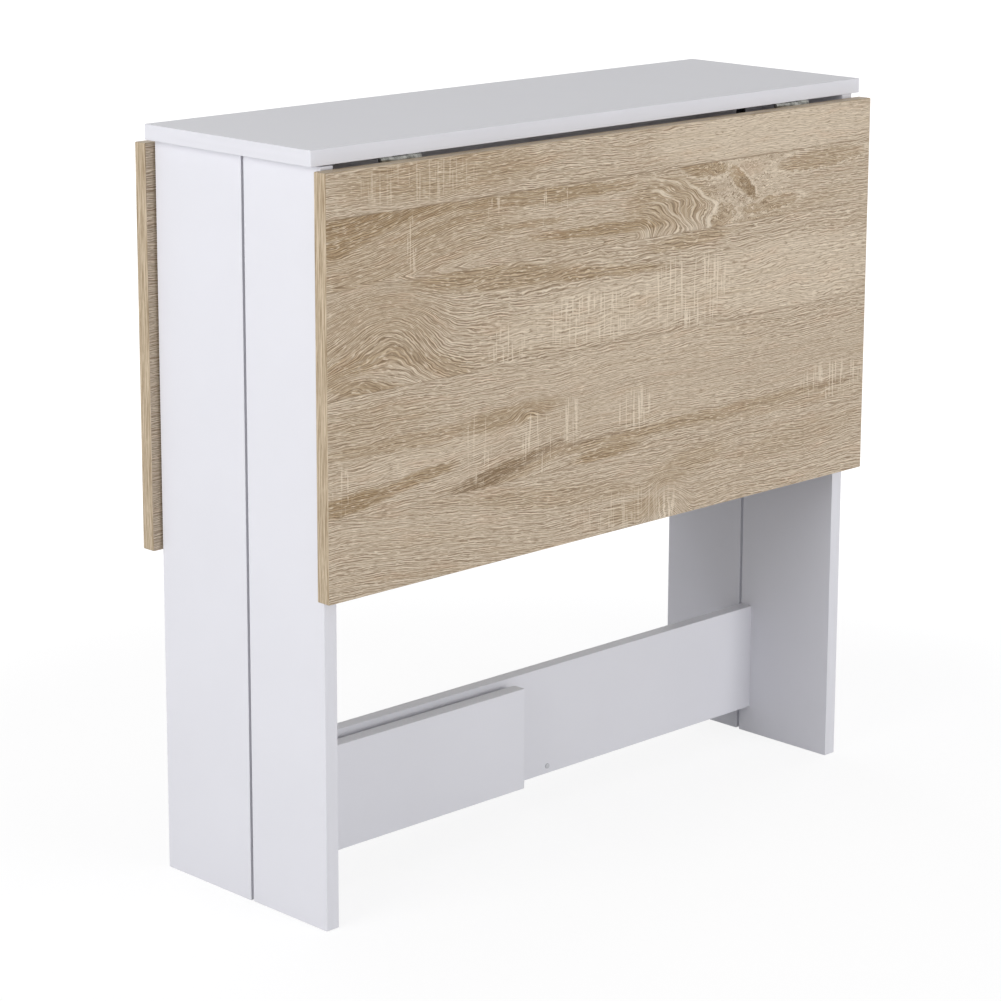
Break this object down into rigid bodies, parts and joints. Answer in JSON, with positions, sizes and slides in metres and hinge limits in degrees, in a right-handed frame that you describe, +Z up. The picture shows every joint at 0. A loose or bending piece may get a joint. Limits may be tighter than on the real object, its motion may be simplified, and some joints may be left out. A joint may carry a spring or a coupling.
{
  "type": "folding gate-leg table",
  "caption": "Folding gate-leg table with a narrow fixed top, drop leaves on both long sides and split end panels joined by stretchers; shown folded.",
  "frame": {"origin": "centre of the folded table's footprint, on the floor", "axes": "+X along the table's long side, -Y towards the front leaf seen in the picture, +Z up"},
  "size_m": [0.76, 0.27, 0.738],
  "materials": {
    "white_board": "white melamine-faced chipboard, satin",
    "white_edging": "white edging, satin",
    "oak_board": "light oak decor on chipboard, fine grain",
    "oak_edging": "light oak decor edging, satin",
    "steel": "nickel-plated, satin",
    "cam_lock": "black-passivated zinc die-casting",
    "dowel": "plain beech"
  },
  "bodies": {
    "frame": {"top_board": "white_board", "top_edging": "white_edging", "rear_left_panel": "white_board", "rear_left_panel_edging": "white_edging", "front_right_panel": "white_board", "front_right_panel_edging": "white_edging", "lower_stretcher": "white_board", "lower_stretcher_edging": "white_edging", "upper_stretcher": "white_board", "upper_stretcher_edging": "white_edging", "frame_cam_locks": "cam_lock", "frame_cam_bolts": "steel", "frame_dowels": "dowel", "front_gate_panel": "white_board", "front_gate_panel_edging": "white_edging", "front_gate_lower_rail": "white_board", "front_gate_upper_rail": "white_board", "front_gate_rail_edging": "white_edging", "front_gate_cam_locks": "cam_lock", "front_gate_cam_bolts": "steel", "front_gate_dowels": "dowel", "front_gate_hinge_fixed_plates": "steel", "front_gate_hinge_swing_plates": "steel", "front_gate_hinge_pins": "steel", "front_gate_hinge_fixed_screws": "steel", "front_gate_hinge_swing_screws": "steel", "front_gate_hinge_bolts": "steel", "rear_gate_panel": "white_board", "rear_gate_panel_edging": "white_edging", "rear_gate_lower_rail": "white_board", "rear_gate_upper_rail": "white_board", "rear_gate_rail_edging": "white_edging", "rear_gate_cam_locks": "cam_lock", "rear_gate_cam_bolts": "steel", "rear_gate_dowels": "dowel", "rear_gate_hinge_fixed_plates": "steel", "rear_gate_hinge_swing_plates": "steel", "rear_gate_hinge_pins": "steel", "rear_gate_hinge_fixed_screws": "steel", "rear_gate_hinge_swing_screws": "steel", "rear_gate_hinge_bolts": "steel", "front_leaf_hinge_top_plates": "steel", "front_leaf_hinge_pins": "steel", "front_leaf_hinge_top_screws": "steel", "rear_leaf_hinge_top_plates": "steel", "rear_leaf_hinge_pins": "steel", "rear_leaf_hinge_top_screws": "steel"},
    "front_leaf_assembly": {"front_leaf": "oak_board", "front_leaf_edging": "oak_edging", "front_leaf_hinge_leaf_plates": "steel", "front_leaf_hinge_leaf_screws": "steel"},
    "rear_leaf_assembly": {"rear_leaf": "oak_board", "rear_leaf_edging": "oak_edging", "rear_leaf_hinge_leaf_plates": "steel", "rear_leaf_hinge_leaf_screws": "steel"}
  },
  "joints": [
    {"name": "front_leaf_lift", "type": "hinge", "parent": "frame", "child": "front_leaf_assembly", "pos_m": [0, -0.1175, 0.7205], "axis": [-1, 0, 0], "range_deg": [0, 90]},
    {"name": "rear_leaf_lift", "type": "hinge", "parent": "frame", "child": "rear_leaf_assembly", "pos_m": [0, 0.1175, 0.7205], "axis": [1, 0, 0], "range_deg": [0, 90]}
  ]
}
